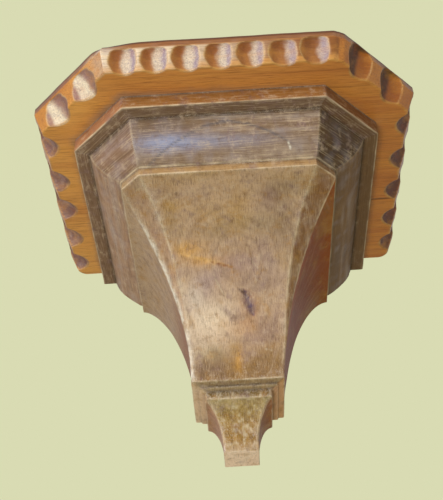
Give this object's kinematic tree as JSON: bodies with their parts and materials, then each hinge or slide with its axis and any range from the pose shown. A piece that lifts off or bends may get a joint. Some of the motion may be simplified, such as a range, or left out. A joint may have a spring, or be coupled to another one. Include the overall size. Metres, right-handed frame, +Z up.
{
  "type": "wall corbel bracket",
  "caption": "Wooden wall corbel: a shelf board with cut corners and gouged edges on a moulded body that hollows down to a small square pendant.",
  "frame": {"origin": "on the flat back of the corbel body, on its middle line, 80 mm below the top of the shelf board", "axes": "+X to the right along the wall, +Y into the wall, +Z up"},
  "size_m": [0.303, 0.2465, 0.2296],
  "materials": {
    "shelf_wood": "varnished orange-brown softwood, worn on the edges",
    "body_wood": "old grey-brown stain over amber wood, worn pale along the arrises"
  },
  "bodies": {
    "root": {"shelf_board": "shelf_wood", "corbel_body": "body_wood"}
  },
  "joints": []
}
